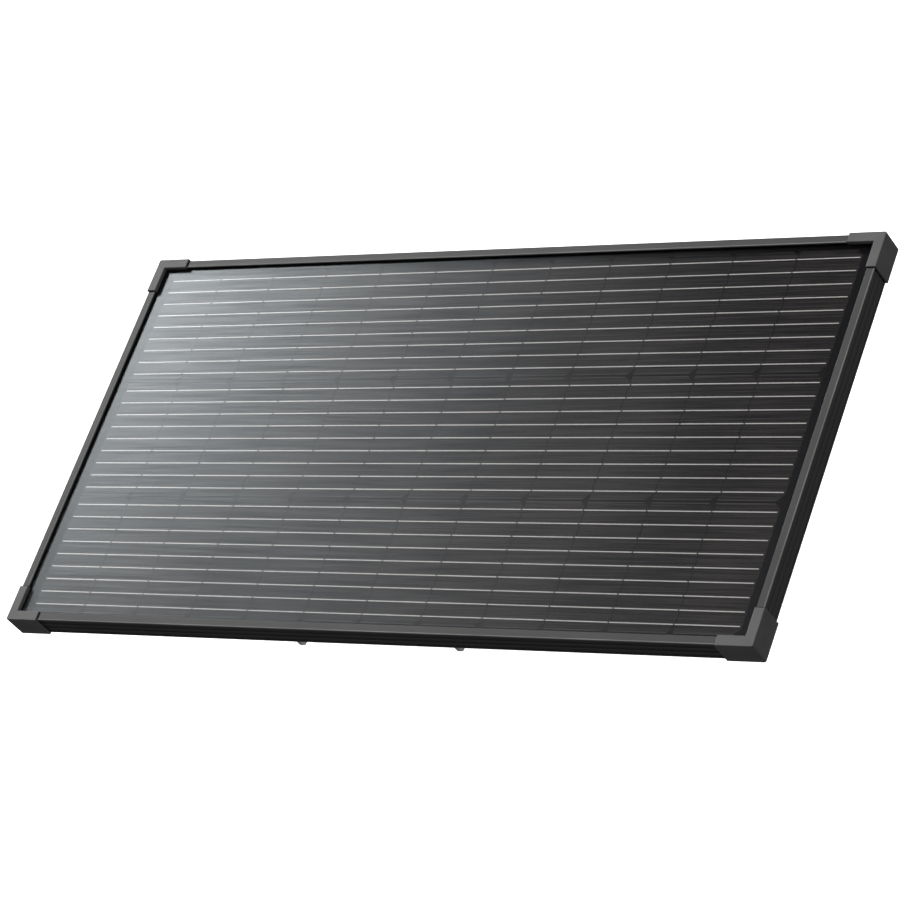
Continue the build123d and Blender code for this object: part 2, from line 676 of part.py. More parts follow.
HEEL_R = LEG_DEPTH / 2
LEG_LOW = -LEG_DEPTH / 2
HEEL_SIN = Vector(0, 1, 0).rotate(Axis.X, STAND_ANGLE).Z
HEEL_COS = Vector(0, 1, 0).rotate(Axis.X, STAND_ANGLE).Y
HEEL_TOUCH = (HEEL_R * HEEL_SIN, HEEL_R * HEEL_COS)
HEEL_TAIL = (HEEL_R - LEG_LOW * HEEL_COS) / HEEL_SIN
LEG_RUN = PIN_Y - LEG_END_Y
LEG_END_CORNER = 3.0
LEG_FOOT_ROUND = 5.0
LEG_BEVEL = 0.4
TUBE_RUN = PIN_Y - CROSS_TUBE_Y
EAR_GAP = LEG_THICKNESS / 2 + BUSH_FLANGE + SIDE_CLEARANCE
PIN_REACH = EAR_GAP + EAR
PLATE_Z = BACK_Z - BRACKET_PLATE
BRACKET_CORNER = 4.0
BOLT_TAIL = 6.0
BOLT_HEX_R = 5.0
BOLT_HEAD = 4.0
NUT_HEIGHT = 5.0
CLIP_LENGTH = 40.0
CLIP_WIDTH = 12.0
CLIP_CORNER = 3.0
JAW = 2.0
JAW_WIDTH = 10.0
JAW_OFFSET = LEG_THICKNESS / 2 + SIDE_CLEARANCE + JAW / 2
JAW_Z = LEG_DEPTH / 2

for name, side in (("left", -1), ("right", 1)):
    leg_x = side * LEG_X
    # outline in the leg's own plane, with the pivot at the origin, +X to the top rail and +Y up
    leg_plane = Plane(origin=(leg_x, PIN_Y, PIN_Z), x_dir=(0, 1, 0), z_dir=(1, 0, 0))
    with BuildPart() as stand_leg:
        with BuildSketch(leg_plane) as leg_outline:
            with BuildLine():
                Polyline(
                    HEEL_TOUCH,
                    (HEEL_TAIL, LEG_LOW),
                    (-LEG_RUN, LEG_LOW),
                    (-LEG_RUN, HEEL_R - LEG_END_CORNER),
                    (-LEG_RUN + LEG_END_CORNER, HEEL_R),
                    (0, HEEL_R),
                )
                RadiusArc((0, HEEL_R), HEEL_TOUCH, HEEL_R)
            make_face()
            fillet(leg_outline.vertices().sort_by_distance((-LEG_RUN, LEG_LOW))[0], radius=LEG_FOOT_ROUND)
            Circle(BUSH_R, mode=Mode.SUBTRACT)
            with Locations((-TUBE_RUN, 0)):
                Circle(M5, mode=Mode.SUBTRACT)
        extrude(amount=LEG_THICKNESS / 2, both=True)
        chamfer(stand_leg.faces().sort_by(Axis.X)[0].outer_wire().edges(), length=LEG_BEVEL)
        chamfer(stand_leg.faces().sort_by(Axis.X)[-1].outer_wire().edges(), length=LEG_BEVEL)
    save(stand_leg, f"stand_leg_{name}")

    with BuildPart() as pivot_bushes:
        with BuildSketch(leg_plane):
            Circle(BUSH_R)
            Circle(PIN_R + PIN_CLEARANCE, mode=Mode.SUBTRACT)
        extrude(amount=LEG_THICKNESS / 2, both=True)
        for face_side in (-1, 1):
            with BuildSketch(leg_plane.offset(face_side * LEG_THICKNESS / 2)):
                Circle(BUSH_FLANGE_R)
                Circle(PIN_R + PIN_CLEARANCE, mode=Mode.SUBTRACT)
            extrude(amount=face_side * BUSH_FLANGE)
    save(pivot_bushes, f"pivot_bush_{name}")

    with BuildPart() as stand_bracket:
        with BuildSketch(Plane.XY.offset(PLATE_Z)):
            with Locations((leg_x, HALF_Y - BRACKET_INSET - BRACKET_LENGTH / 2)):
                RectangleRounded(BRACKET_WIDTH, BRACKET_LENGTH, BRACKET_CORNER)
            with Locations(*[(leg_x + s * BRACKET_SCREW_X, BRACKET_SCREW_Y) for s in (-1, 1)]):
                Circle(M5, mode=Mode.SUBTRACT)
        extrude(amount=BRACKET_PLATE)
        for ear_side in (-1, 1):
            with BuildSketch(leg_plane.offset(ear_side * EAR_GAP)):
                Circle(HEEL_R)
                with Locations((0, (PLATE_Z - PIN_Z) / 2)):
                    Rectangle(2 * HEEL_R, PLATE_Z - PIN_Z)
                Circle(PIN_R, mode=Mode.SUBTRACT)
            extrude(amount=ear_side * EAR)
    save(stand_bracket, f"stand_bracket_{name}")

    # pivot bolt with its head outboard and a lock nut inboard
    with BuildPart() as pivot_bolt:
        with BuildSketch(leg_plane.offset(-side * (PIN_REACH + BOLT_TAIL))):
            Circle(PIN_R)
        extrude(amount=side * (2 * PIN_REACH + BOLT_TAIL))
        with BuildSketch(leg_plane.offset(side * PIN_REACH)):
            RegularPolygon(BOLT_HEX_R, 6, major_radius=False)
        extrude(amount=side * BOLT_HEAD)
    save(pivot_bolt, f"pivot_bolt_{name}")

    with BuildPart() as pivot_nut:
        with BuildSketch(leg_plane.offset(-side * PIN_REACH)):
            RegularPolygon(BOLT_HEX_R, 6, major_radius=False)
            Circle(PIN_R, mode=Mode.SUBTRACT)
        extrude(amount=-side * NUT_HEIGHT)
    save(pivot_nut, f"pivot_nut_{name}")

    # clip on the bottom rail that the folded leg lies in
    with BuildPart() as leg_clip:
        with BuildSketch(Plane.XY.offset(PLATE_Z)):
            with Locations((leg_x, -BRACKET_SCREW_Y)):
                RectangleRounded(CLIP_LENGTH, CLIP_WIDTH, CLIP_CORNER)
            with Locations(*[(leg_x + s * CLIP_SCREW_X, -BRACKET_SCREW_Y) for s in (-1, 1)]):
                Circle(M4, mode=Mode.SUBTRACT)
        extrude(amount=BRACKET_PLATE)
        with BuildSketch(Plane.XY.offset(JAW_Z)):
            with Locations(*[(leg_x + jaw * JAW_OFFSET, -BRACKET_SCREW_Y) for jaw in (-1, 1)]):
                Rectangle(JAW, JAW_WIDTH)
        extrude(amount=PLATE_Z - JAW_Z)
    save(leg_clip, f"leg_clip_{name}")

NUT_LEVEL = BACK_Z + FLANGE_THICKNESS
make_screws(
    "bracket_screws",
    BRACKET_HOLES,
    head_z=PLATE_Z,
    head_r=4.6,
    head_height=2.8,
    shank_r=M5,
    shank_length=12.0,
)
make_nuts("bracket_nuts", BRACKET_HOLES, z=NUT_LEVEL, across=8.0, height=4.0, bore=M5)
make_screws(
    "clip_screws",
    CLIP_HOLES,
    head_z=PLATE_Z,
    head_r=3.6,
    head_height=2.2,
    shank_r=M4,
    shank_length=10.0,
)
make_nuts("clip_nuts", CLIP_HOLES, z=NUT_LEVEL, across=7.0, height=3.2, bore=M4)

TUBE_SPAN = LEG_X - LEG_THICKNESS / 2
LEG_OUTSIDE = LEG_X + LEG_THICKNESS / 2
PLUG_LENGTH = 20.0
TUBE_SCREW_HEAD_R = 4.6
TUBE_SCREW_HEAD = 2.8
TUBE_SCREW_BITE = 14.0
SOCKET_R = 1.5
SOCKET_DEPTH = 1.6
tube_axis = Plane(origin=(0, CROSS_TUBE_Y, PIN_Z), x_dir=(0, 1, 0), z_dir=(1, 0, 0))

with BuildPart() as stand_cross_tube:
    with BuildSketch(tube_axis):
        Circle(CROSS_TUBE_R)
        Circle(CROSS_TUBE_R - CROSS_TUBE_WALL, mode=Mode.SUBTRACT)
    extrude(amount=TUBE_SPAN, both=True)
save(stand_cross_tube, "stand_cross_tube")

with BuildPart() as cross_tube_plugs:
    for side in (-1, 1):
        with BuildSketch(tube_axis.offset(side * TUBE_SPAN)):
            Circle(CROSS_TUBE_R - CROSS_TUBE_WALL)
            Circle(M5, mode=Mode.SUBTRACT)
        extrude(amount=-side * PLUG_LENGTH)
save(cross_tube_plugs, "cross_tube_plugs")

with BuildPart() as cross_tube_screws:
    for side in (-1, 1):
        leg_outside = tube_axis.offset(side * LEG_OUTSIDE)
        with BuildSketch(leg_outside):
            Circle(TUBE_SCREW_HEAD_R)
        extrude(amount=side * TUBE_SCREW_HEAD)
        with BuildSketch(leg_outside):
            Circle(M5)
        extrude(amount=-side * (LEG_THICKNESS + TUBE_SCREW_BITE))
        with BuildSketch(tube_axis.offset(side * (LEG_OUTSIDE + TUBE_SCREW_HEAD))):
            RegularPolygon(SOCKET_R, 6, major_radius=False)
        extrude(amount=-side * SOCKET_DEPTH, mode=Mode.SUBTRACT)
save(cross_tube_screws, "cross_tube_screws")
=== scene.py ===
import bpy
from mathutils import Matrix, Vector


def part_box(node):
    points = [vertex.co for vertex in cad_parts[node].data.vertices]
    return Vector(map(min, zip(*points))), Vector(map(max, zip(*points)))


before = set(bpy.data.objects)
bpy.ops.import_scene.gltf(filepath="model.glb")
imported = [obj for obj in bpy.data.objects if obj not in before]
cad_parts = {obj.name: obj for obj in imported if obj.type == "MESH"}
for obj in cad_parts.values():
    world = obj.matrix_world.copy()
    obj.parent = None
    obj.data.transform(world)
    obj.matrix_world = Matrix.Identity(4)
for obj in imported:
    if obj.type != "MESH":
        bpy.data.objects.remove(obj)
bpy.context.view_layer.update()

import math

import bpy
from mathutils import Matrix, Vector

# A framed solar panel with a folding stand, seen in a bright studio. Metres, Z up.
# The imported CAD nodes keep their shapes; this script gives each one its finish.

# ---------------------------------------------------------------- sizes and places

STRING_CELLS = [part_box(f"cells_string_{number}") for number in (1, 2, 3)]
OUTER_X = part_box("frame_rail_right")[1].x
OUTER_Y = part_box("frame_rail_top")[1].y
RAIL_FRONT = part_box("frame_rail_top")[1].z
RAIL_WIDTH = 0.010
RAIL_ROUND = 0.0008
CAP_REACH = 0.046
SEAM_WIDTH = 0.0012
SEAM_SLACK = 0.0001

# the rails' grooves, as depths behind the outer face, and their start behind the front; painted shade in the
# grooves grows from the first depth to the second
GROOVE_TOP = 0.0002
GROOVE_SHADED = 0.0006
GROOVE_FLOOR = 0.0011
GROOVES_START = 0.0015

GLASS_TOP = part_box("glass_cover")[1].z
GLASS_SKIN = 0.0006

# the printed fingers across each cell, and the printed line along its string's two long edges
FINGER_PITCH = 0.0014
FINGER_CORE = 0.00002
FINGER_EDGE = 0.00006
BORDER_INSET = 0.0011
BORDER_CORE = 0.0002
BORDER_EDGE = 0.0006
PRINT_COVER = 0.35

LABEL_BORDER = 0.004
LABEL_ROW = 0.010

FLOOR_Z = -0.48
FLOOR_HALF = 30.0
LAMP_STAND_IN = 3.0

CAMERA_AT = Vector((2.4995, -1.8755, 2.9333))
CAMERA_AIM = Vector((0.0354, -0.0171, 0.0518))
CAMERA_ROLL = math.radians(42.14)
CAMERA_LENS = 145.25
CAMERA_SENSOR = 36.0

NOISE_LOW = 0.3
NOISE_HIGH = 0.7
BEVEL_SAMPLES = 4
WHITE = (1.0, 1.0, 1.0, 1.0)

# ---------------------------------------------------------------- node helpers


def add(tree, kind, inputs=None, **settings):
    """One shader node with its settings and inputs; an input is a value or another node's socket."""
    node = tree.nodes.new("ShaderNode" + kind)
    for key, value in settings.items():
        setattr(node, key, value)
    for key, value in (inputs or {}).items():
        if isinstance(value, bpy.types.NodeSocket):
            tree.links.new(value, node.inputs[key])
        else:
            node.inputs[key].default_value = value
    return node


def calc(tree, operation, *values):
    """A Math node's result."""
    return add(tree, "Math", dict(enumerate(values)), operation=operation).outputs[0]


def remap(tree, value, low, high, to_low, to_high, smooth=False):
    """The value's range low to high stretched to to_low to to_high, and held at its ends."""
    inputs = {"Value": value, "From Min": low, "From Max": high, "To Min": to_low, "To Max": to_high}
    kind = "SMOOTHSTEP" if smooth else "LINEAR"
    return add(tree, "MapRange", inputs, interpolation_type=kind).outputs["Result"]


def place(tree):
    """Rest position in the row frame, in metres."""
    return add(tree, "TexCoord").outputs["Object"]


def noise(tree, vector, scale, detail=3.0, roughness=0.5):
    """Noise in 0 to 1, with its own scale along each axis in cycles per metre."""
    stretched = add(tree, "Mapping", {"Vector": vector, "Scale": scale}).outputs[0]
    inputs = {"Vector": stretched, "Scale": 1.0, "Detail": detail, "Roughness": roughness}
    return add(tree, "TexNoise", inputs).outputs["Fac"]


def levels(tree, value, to_low=0.0, to_high=1.0):
    """A noise's usual range stretched to to_low to to_high."""
    return remap(tree, value, NOISE_LOW, NOISE_HIGH, to_low, to_high)


def both_levels(tree, first, second):
    """Two noises added, and their usual range stretched to 0 to 1."""
    middle = NOISE_LOW + NOISE_HIGH
    reach = 0.75 * (NOISE_HIGH - NOISE_LOW)
    return remap(tree, calc(tree, "ADD", first, second), middle - reach, middle + reach, 0.0, 1.0)


def grain(tree, vector, size):
    """Rounded grains of that size in metres, as on spark-eroded mouldings, in 0 to 1."""
    inputs = {"Vector": vector, "Scale": 1.0 / size}
    return add(tree, "TexVoronoi", inputs, feature="SMOOTH_F1").outputs["Distance"]


def tint(tree, factor, first, second):
    """A colour from the first to the second as the factor goes from 0 to 1.

    Each colour is a socket or three values.
    """
    first, second = (
        colour if isinstance(colour, bpy.types.NodeSocket) else (*colour, 1.0)
        for colour in (first, second)
    )
    return add(tree, "Mix", {0: factor, 6: first, 7: second}, data_type="RGBA").outputs[2]


def edge_wear(tree, radius):
    """0 on flat faces, rising to 1 on convex edges within that radius."""
    rounded = add(tree, "Bevel", {"Radius": radius}, samples=BEVEL_SAMPLES).outputs["Normal"]
    flat = add(tree, "NewGeometry").outputs["True Normal"]
    facing = add(tree, "VectorMath", {0: rounded, 1: flat}, operation="DOT_PRODUCT").outputs["Value"]
    hardly_turned, well_turned = 0.995, 0.86
    return remap(tree, facing, hardly_turned, well_turned, 0.0, 1.0)


def bumped(tree, height, depth, edge=None):
    """A normal bumped by a height of 0 to 1 over that depth in metres, with edges of that radius."""
    inputs = {"Height": height, "Distance": depth, "Strength": 1.0}
    if edge:
        inputs["Normal"] = add(tree, "Bevel", {"Radius": edge}, samples=BEVEL_SAMPLES).outputs["Normal"]
    return add(tree, "Bump", inputs).outputs["Normal"]


def new_material(name):
    """An empty node material and its tree."""
    material = bpy.data.materials.new(name)
    material.use_nodes = True
    material.node_tree.nodes.clear()
    return material, material.node_tree


def finish_with(tree, shader):
    """Links a shader to the material's output."""
    add(tree, "OutputMaterial", {"Surface": shader})


def principled(tree, **inputs):
    """A Principled surface; underscores in the names stand for spaces."""
    sockets = {key.replace("_", " "): value for key, value in inputs.items()}
    finish_with(tree, add(tree, "BsdfPrincipled", sockets).outputs[0])


# ---------------------------------------------------------------- finishes


def anodised_rail(name, along_x, groove_painted_shade):
    """Satin black extrusion with fine die lines and cloudy anodising, with painted shade at the cap seams
    and painted highlights on some edges.

    The last argument is how far painted shade darkens the grooves. The painted highlights lie on the outer
    edges of the bottom and right rails and the inner edges of the other two.
    """
    material, tree = new_material(name)
    at = place(tree)
    axes = add(tree, "SeparateXYZ", {0: at})
    across = calc(tree, "ABSOLUTE", axes.outputs["Y" if along_x else "X"])
    along = calc(tree, "ABSOLUTE", axes.outputs["X" if along_x else "Y"])
    depth = calc(tree, "SUBTRACT", OUTER_Y if along_x else OUTER_X, across)
    below = calc(tree, "SUBTRACT", RAIL_FRONT, axes.outputs["Z"])
    # painted shade: the floors of the grooves are darkened as if shaded, up to the strength the last
    # argument sets
    in_groove = calc(
        tree, "MULTIPLY", calc(tree, "LESS_THAN", depth, GROOVE_FLOOR),
        calc(tree, "GREATER_THAN", below, GROOVES_START),
    )
    shade_painted_in_grooves = calc(
        tree, "MULTIPLY", remap(tree, depth, GROOVE_TOP, GROOVE_SHADED, 0.0, groove_painted_shade), in_groove
    )
    # painted shade: a near-black band on the rail just beyond each corner cap's end, standing in for the
    # shadow where cap and rail meet
    seam_at = (OUTER_X if along_x else OUTER_Y) - CAP_REACH - SEAM_WIDTH / 2
    painted_seam_shade = calc(
        tree, "MULTIPLY", calc(tree, "COMPARE", along, seam_at, SEAM_WIDTH / 2 + SEAM_SLACK),
        calc(tree, "LESS_THAN", depth, RAIL_WIDTH + 2 * SEAM_SLACK),
    )
    # painted highlight: a paler band on the rounded front edges that face +X and -Y, on the outer edge of
    # the bottom and right rails and the inner edge of the top and left rails
    inner = calc(tree, "ABSOLUTE", calc(tree, "SUBTRACT", RAIL_WIDTH, depth))
    if along_x:
        highlight_on_outer = calc(tree, "LESS_THAN", axes.outputs["Y"], 0.0)
    else:
        highlight_on_outer = calc(tree, "GREATER_THAN", axes.outputs["X"], 0.0)
    rim = calc(tree, "ADD", remap(tree, highlight_on_outer, 0.0, 1.0, inner, depth), below)
    wear = remap(tree, rim, RAIL_ROUND * 1.1, RAIL_ROUND * 1.7, 1.0, 0.0)
    lines = noise(tree, at, (3, 900, 900) if along_x else (900, 3, 900), detail=2.0)
    clouds = noise(tree, at, (14, 14, 14), detail=4.0)
    speckle = noise(tree, at, (2600, 2600, 2600), detail=1.0)
    mottled = calc(
        tree, "ADD", calc(tree, "MULTIPLY", lines, 0.45), calc(tree, "MULTIPLY", clouds, 0.55)
    )
    open_face = tint(tree, levels(tree, mottled), (0.029, 0.029, 0.029), (0.040, 0.040, 0.040))
    # painted shade in the grooves and at the cap seams darkens the open face towards near black
    dark = tint(tree, calc(tree, "MAXIMUM", shade_painted_in_grooves, painted_seam_shade), open_face, (0.006, 0.006, 0.006))
    # the painted highlight's pale grey, mottled a little by the clouds and kept off the painted seam shade
    painted_edge_highlight = calc(tree, "MULTIPLY", wear, remap(tree, clouds, 0.35, 0.7, 0.6, 1.0))
    outside_seam_shade = calc(tree, "SUBTRACT", 1.0, painted_seam_shade)
    colour = tint(tree, calc(tree, "MULTIPLY", painted_edge_highlight, outside_seam_shade), dark, (0.175, 0.175, 0.175))
    roughness = levels(tree, lines, 0.44, 0.56)
    height = calc(tree, "ADD", lines, calc(tree, "MULTIPLY", speckle, 0.5))
    principled(
        tree, Base_Color=colour, Roughness=roughness,
        Normal=bumped(tree, height, depth=0.00001, edge=0.0004), IOR=1.13,
    )
    return material


def moulded_plastic(name, dark, light, grain_size, roughness, edge):
    """Moulded plastic with a spark-eroded grain and slightly polished edges."""
    material, tree = new_material(name)
    at = place(tree)
    skin = grain(tree, at, grain_size)
    clouds = noise(tree, at, (30, 30, 30), detail=4.0)
    wear = edge_wear(tree, edge * 2)
    base = tint(tree, levels(tree, clouds), dark, light)
    paler = [channel * 1.5 for channel in light]
    colour = tint(tree, calc(tree, "MULTIPLY", wear, 0.7), base, paler)
    polish = calc(
        tree, "SUBTRACT", remap(tree, skin, 0.1, 0.7, roughness - 0.05, roughness + 0.06),
        calc(tree, "MULTIPLY", wear, 0.12),
    )
    principled(
        tree, Base_Color=colour, Roughness=polish,
        Normal=bumped(tree, skin, depth=0.00004, edge=edge), IOR=1.15,
    )
    return material


def metal(name, dark, light, roughness, lines, edge=0.0003, depth=0.000004):
    """Metal with drawn or brushed lines; lines is the noise's scale along each axis."""
    material, tree = new_material(name)
    at = place(tree)
    drawn = noise(tree, at, lines, detail=3.0)
    clouds = noise(tree, at, (60, 60, 60), detail=3.0)
    base = tint(tree, both_levels(tree, drawn, clouds), dark, light)
    rough = levels(tree, drawn, roughness - 0.06, roughness + 0.1)
    principled(
        tree, Base_Color=base, Metallic=1.0, Roughness=rough,
        Normal=bumped(tree, drawn, depth=depth, edge=edge),
    )
    return material


def cover_glass():
    """Satin low-iron glass with drawn streaks in its sheen.

    It reflects at its top face only, because the encapsulant wets the lower one.
    """
    material, tree = new_material("cover_glass")
    height = add(tree, "SeparateXYZ", {0: place(tree)}).outputs["Z"]
    top_face = calc(tree, "GREATER_THAN", height, GLASS_TOP - GLASS_SKIN)
    outside = calc(tree, "SUBTRACT", 1.0, add(tree, "NewGeometry").outputs["Backfacing"])
    rolled = noise(tree, place(tree), (70, 70, 70), detail=2.0)
    fresnel = add(tree, "Fresnel", {"IOR": 1.5}).outputs[0]
    smudge = levels(tree, noise(tree, place(tree), (9, 9, 9), detail=5.0), 0.2895, 0.2915)
    streaks = noise(tree, place(tree), (6, 540, 1), detail=3.0, roughness=0.7)
    drawn = remap(tree, streaks, 0.42, 0.58, 0.0, 1.0)
    glint = tint(tree, drawn, (0.57, 0.615, 0.655), (0.90, 0.965, 1.0))
    reflection = add(
        tree, "BsdfAnisotropic",
        {"Color": glint, "Roughness": smudge, "Normal": bumped(tree, rolled, depth=0.000002)},
        distribution="BECKMANN",
    )
    clear = add(tree, "BsdfTransparent", {"Color": (0.985, 0.98, 0.98, 1.0)})
    share = calc(tree, "MULTIPLY", calc(tree, "MULTIPLY", fresnel, outside), top_face)
    mixed = add(tree, "MixShader", {0: share, 1: clear.outputs[0], 2: reflection.outputs[0]})
    finish_with(tree, mixed.outputs[0])
    return material


def clear_encapsulant():
    """Cured encapsulant: clear, with the faint haze of its embossed film."""
    material, tree = new_material("clear_encapsulant")
    haze = levels(tree, noise(tree, place(tree), (120, 120, 120), detail=3.0), 0.985, 1.0)
    clear = add(tree, "BsdfTransparent", {"Color": haze})
    finish_with(tree, clear.outputs[0])
    return material


def silicon_cell(number):
    """A string of dark cells: fine fingers across the wires, etched streaks and a paler printed border."""
    low, high = STRING_CELLS[number - 1]
    material, tree = new_material(f"silicon_cell_{number}")
    at = place(tree)
    axes = add(tree, "SeparateXYZ", {0: at})
    x, y = axes.outputs["X"], axes.outputs["Y"]
    streaks = noise(tree, at, (8, 540, 1), detail=3.0, roughness=0.7)
    batch = noise(tree, at, (6, 3, 1), detail=1.0)
    etched = calc(tree, "ADD", streaks, calc(tree, "MULTIPLY", batch, 0.3))
    silicon = tint(
        tree, remap(tree, etched, 0.55, 0.78, 0.0, 1.0), (0.0008, 0.0007, 0.0007), (0.0180, 0.0158, 0.0157)
    )
    finger = calc(tree, "PINGPONG", x, FINGER_PITCH / 2)
    printed = remap(tree, finger, FINGER_CORE, FINGER_EDGE, 1.0, 0.0)
    rim = calc(tree, "MINIMUM", calc(tree, "SUBTRACT", y, low.y), calc(tree, "SUBTRACT", high.y, y))
    off_border = calc(tree, "ABSOLUTE", calc(tree, "SUBTRACT", rim, BORDER_INSET))
    border = remap(tree, off_border, BORDER_CORE, BORDER_EDGE, PRINT_COVER, 0.0)
    marks = calc(tree, "MAXIMUM", calc(tree, "MULTIPLY", printed, PRINT_COVER), border)
    colour = tint(tree, marks, silicon, (0.075, 0.075, 0.080))
    principled(
        tree, Base_Color=colour, Roughness=levels(tree, streaks, 0.45, 0.6),
        Normal=bumped(tree, streaks, depth=0.000004), IOR=1.065,
    )
    return material


def tinned_wire(name, light):
    """Tinned copper under the glass: bright and matt, with a slight ripple along it."""
    material, tree = new_material(name)
    ripple = noise(tree, place(tree), (160, 40, 40), detail=2.0)
    darker = [channel * 0.82 for channel in light]
    principled(
        tree, Base_Color=tint(tree, levels(tree, ripple), darker, light),
        Roughness=levels(tree, ripple, 0.40, 0.48), Normal=bumped(tree, ripple, depth=0.00002), IOR=1.36,
    )
    return material


def black_film(name, dark, light, weave, ior=1.45):
    """Black polymer film with a fine embossed texture."""
    material, tree = new_material(name)
    at = place(tree)
    emboss = noise(tree, at, (weave, weave, weave), detail=2.0)
    broad = noise(tree, at, (5, 5, 5), detail=3.0)
    colour = tint(tree, both_levels(tree, emboss, broad), dark, light)
    principled(
        tree, Base_Color=colour, Roughness=levels(tree, emboss, 0.42, 0.6),
        Normal=bumped(tree, emboss, depth=0.00002), IOR=ior,
    )
    return material


def margin_film():
    """Black film under the cells, nearly their tone in the gaps between them and blacker in the margins."""
    material, tree = new_material("margin_film")
    at = place(tree)
    outward = calc(tree, "ABSOLUTE", add(tree, "SeparateXYZ", {0: at}).outputs["X"])
    gap = calc(tree, "LESS_THAN", outward, STRING_CELLS[0][1].x)
    emboss = noise(tree, at, (900, 900, 900), detail=2.0)
    shade = levels(tree, emboss)
    margin = tint(tree, shade, (0.0020, 0.0018, 0.0022), (0.0040, 0.0038, 0.0042))
    between = tint(tree, shade, (0.0038, 0.0033, 0.0034), (0.0066, 0.0058, 0.0060))
    principled(
        tree, Base_Color=tint(tree, gap, margin, between), Roughness=levels(tree, emboss, 0.42, 0.6),
        Normal=bumped(tree, emboss, depth=0.00002), IOR=1.05,
    )
    return material


def rubbery(name, dark, light):
    """Cured silicone or rubber: matt, with a soft uneven skin."""
    material, tree = new_material(name)
    skin = noise(tree, place(tree), (350, 350, 350), detail=4.0)
    colour = tint(tree, levels(tree, skin), dark, light)
    principled(
        tree, Base_Color=colour, Roughness=levels(tree, skin, 0.55, 0.75),
        Normal=bumped(tree, skin, depth=0.00006), IOR=1.42,
    )
    return material


def label_film():
    """A blank satin label with a printed border and ruled rows, and no lettering."""
    low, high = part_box("rating_label")
    centre = (low + high) / 2
    half = (high - low) / 2
    material, tree = new_material("label_film")
    at = place(tree)
    offset = add(tree, "VectorMath", {0: at, 1: tuple(centre)}, operation="SUBTRACT").outputs[0]
    axes = add(tree, "SeparateXYZ", {0: offset})
    across = calc(tree, "ABSOLUTE", axes.outputs["X"])
    down = calc(tree, "ABSOLUTE", axes.outputs["Y"])
    edge = calc(
        tree, "MINIMUM", calc(tree, "SUBTRACT", half.x - LABEL_BORDER, across),
        calc(tree, "SUBTRACT", half.y - LABEL_BORDER, down),
    )
    line = remap(tree, calc(tree, "ABSOLUTE", edge), 0.0003, 0.0006, 1.0, 0.0)
    folded = calc(tree, "PINGPONG", axes.outputs["Y"], LABEL_ROW)
    rows = calc(tree, "ABSOLUTE", calc(tree, "SUBTRACT", folded, LABEL_ROW / 2))
    ruled = calc(
        tree, "MULTIPLY", remap(tree, rows, 0.00015, 0.0004, 1.0, 0.0), calc(tree, "GREATER_THAN", edge, 0.0)
    )
    ink = calc(tree, "MAXIMUM", line, calc(tree, "MULTIPLY", ruled, 0.6))
    fibre = noise(tree, at, (500, 500, 500), detail=2.0)
    paper = tint(tree, levels(tree, fibre), (0.50, 0.51, 0.52), (0.58, 0.59, 0.60))
    principled(
        tree, Base_Color=tint(tree, ink, paper, (0.03, 0.03, 0.03)),
        Roughness=levels(tree, fibre, 0.3, 0.42), Normal=bumped(tree, fibre, depth=0.000005),
    )
    return material


LONG_RAIL = anodised_rail("anodised_long_rail", along_x=True, groove_painted_shade=0.35)
SHORT_RAIL = anodised_rail("anodised_short_rail", along_x=False, groove_painted_shade=0.0)
CAP = moulded_plastic(
    "cap_plastic", dark=(0.060, 0.060, 0.060), light=(0.076, 0.076, 0.076),
    grain_size=0.0007, roughness=0.56, edge=0.0006
)
BOX = moulded_plastic(
    "box_plastic", dark=(0.030, 0.030, 0.031), light=(0.042, 0.042, 0.043),
    grain_size=0.0006, roughness=0.5, edge=0.0004
)
NYLON = moulded_plastic(
    "nylon", dark=(0.40, 0.39, 0.36), light=(0.47, 0.46, 0.43),
    grain_size=0.0012, roughness=0.42, edge=0.0003
)
EPOXY = moulded_plastic(
    "diode_epoxy", dark=(0.012, 0.012, 0.012), light=(0.02, 0.02, 0.02),
    grain_size=0.0008, roughness=0.38, edge=0.0002
)
MILL_ALUMINIUM = metal(
    "mill_aluminium", dark=(0.62, 0.63, 0.64), light=(0.78, 0.79, 0.80),
    roughness=0.34, lines=(6, 700, 700)
)
LEG_ALUMINIUM = metal(
    "leg_aluminium", dark=(0.24, 0.24, 0.245), light=(0.34, 0.34, 0.345),
    roughness=0.42, lines=(700, 6, 700)
)
TUBE_ALUMINIUM = metal(
    "tube_aluminium", dark=(0.24, 0.24, 0.245), light=(0.34, 0.34, 0.345),
    roughness=0.42, lines=(6, 700, 700)
)
STAINLESS = metal(
    "stainless", dark=(0.48, 0.47, 0.46), light=(0.62, 0.61, 0.60),
    roughness=0.3, lines=(900, 900, 60)
)
BLACK_STEEL = metal(
    "black_steel", dark=(0.035, 0.035, 0.037), light=(0.07, 0.07, 0.073),
    roughness=0.42, lines=(900, 900, 90)
)
BRACKET_STEEL = moulded_plastic(
    "powder_coat", dark=(0.034, 0.034, 0.035), light=(0.044, 0.044, 0.045),
    grain_size=0.0009, roughness=0.45, edge=0.0004
)
BRASS = metal(
    "brass", dark=(0.60, 0.42, 0.18), light=(0.72, 0.52, 0.24),
    roughness=0.3, lines=(500, 20, 500)
)
WIRE = tinned_wire("tinned_wire", (0.32, 0.314, 0.303))
RIBBON = tinned_wire("tinned_ribbon", (0.55, 0.55, 0.54))
BACKSHEET = black_film(
    "backsheet_film", dark=(0.009, 0.009, 0.010), light=(0.016, 0.016, 0.018),
    weave=900
)
MASK = black_film(
    "mask_film", dark=(0.002, 0.002, 0.003), light=(0.004, 0.004, 0.005),
    weave=1400, ior=1.05
)
SILICONE = rubbery(
    "silicone", dark=(0.016, 0.016, 0.016), light=(0.028, 0.028, 0.028)
)
RUBBER = rubbery(
    "rubber", dark=(0.010, 0.010, 0.010), light=(0.018, 0.018, 0.018)
)

